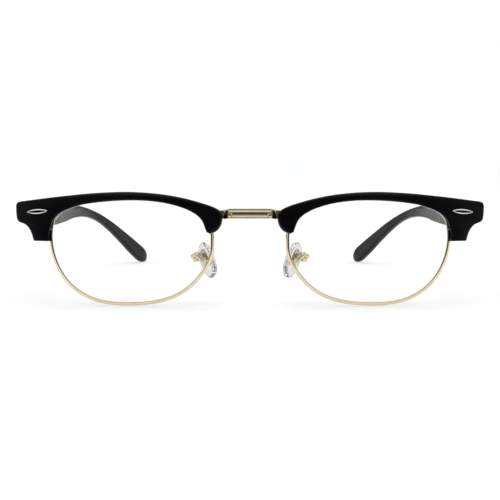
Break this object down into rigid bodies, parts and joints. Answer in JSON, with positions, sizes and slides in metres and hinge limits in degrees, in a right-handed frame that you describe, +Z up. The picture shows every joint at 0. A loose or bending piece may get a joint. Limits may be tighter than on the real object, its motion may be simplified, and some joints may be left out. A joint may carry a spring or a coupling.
{
  "type": "half rim eyeglasses",
  "caption": "Browline eyeglasses: black plastic brows over gold metal rims, clear lenses, metal bridge, rocking clear nose pads and black temples that fold on riveted hinges.",
  "frame": {"origin": "on the table, under the middle of the bounding box of the open glasses", "axes": "+X towards the wearer's left, +Y from the front towards the temple tips, +Z up from the table; the front faces -Y and leans back about 4.7 degrees"},
  "size_m": [0.141, 0.1482, 0.0335],
  "materials": {
    "brow_plastic": "satin-polished black acetate",
    "temple_plastic": "satin black acetate",
    "gold_metal": "polished pale gold plating",
    "silver_rivet": "polished",
    "steel": "turned",
    "lens": "clear optical resin with an anti-reflective coating",
    "clear_pad": "clear moulded silicone"
  },
  "bodies": {
    "front": {"bridge": "gold_metal", "brow_left": "brow_plastic", "brow_right": "brow_plastic", "brow_rivet_left": "silver_rivet", "brow_rivet_right": "silver_rivet", "brow_screw_nasal_left": "steel", "brow_screw_nasal_right": "steel", "brow_screw_temporal_left": "steel", "brow_screw_temporal_right": "steel", "closing_block_lower_left": "gold_metal", "closing_block_lower_right": "gold_metal", "closing_block_upper_left": "gold_metal", "closing_block_upper_right": "gold_metal", "eyewire_left": "gold_metal", "eyewire_right": "gold_metal", "hinge_front_left": "gold_metal", "hinge_front_right": "gold_metal", "hinge_screw_left": "steel", "hinge_screw_right": "steel", "lens_left": "lens", "lens_right": "lens", "nasal_lug_left": "gold_metal", "nasal_lug_right": "gold_metal", "pad_arm_left": "gold_metal", "pad_arm_right": "gold_metal", "pad_box_left": "gold_metal", "pad_box_right": "gold_metal", "pad_screw_left": "steel", "pad_screw_right": "steel", "rim_lock_screw_left": "steel", "rim_lock_screw_right": "steel"},
    "temple_left_arm": {"temple_left": "temple_plastic", "temple_core_left": "steel", "temple_rivet_left": "silver_rivet", "hinge_temple_left": "gold_metal"},
    "temple_right_arm": {"temple_right": "temple_plastic", "temple_core_right": "steel", "temple_rivet_right": "silver_rivet", "hinge_temple_right": "gold_metal"},
    "nose_pad_left_body": {"nose_pad_left": "clear_pad", "pad_plate_left": "gold_metal"},
    "nose_pad_right_body": {"nose_pad_right": "clear_pad", "pad_plate_right": "gold_metal"}
  },
  "joints": [
    {"name": "temple_left_fold", "type": "hinge", "parent": "front", "child": "temple_left_arm", "pos_m": [0.0643, -0.05826, 0.02675], "axis": [0, 0.0812, 0.9967], "range_deg": [0, 83]},
    {"name": "temple_right_fold", "type": "hinge", "parent": "front", "child": "temple_right_arm", "pos_m": [-0.0643, -0.05826, 0.02675], "axis": [0, -0.0812, -0.9967], "range_deg": [0, 76]},
    {"name": "nose_pad_left_rock", "type": "hinge", "parent": "front", "child": "nose_pad_left_body", "pos_m": [0.01569, -0.06535, 0.0138], "axis": [0.4849, 0.6759, -0.5549], "range_deg": [-10, 10]},
    {"name": "nose_pad_right_rock", "type": "hinge", "parent": "front", "child": "nose_pad_right_body", "pos_m": [-0.01569, -0.06535, 0.0138], "axis": [-0.4849, 0.6759, -0.5549], "range_deg": [-10, 10]}
  ]
}
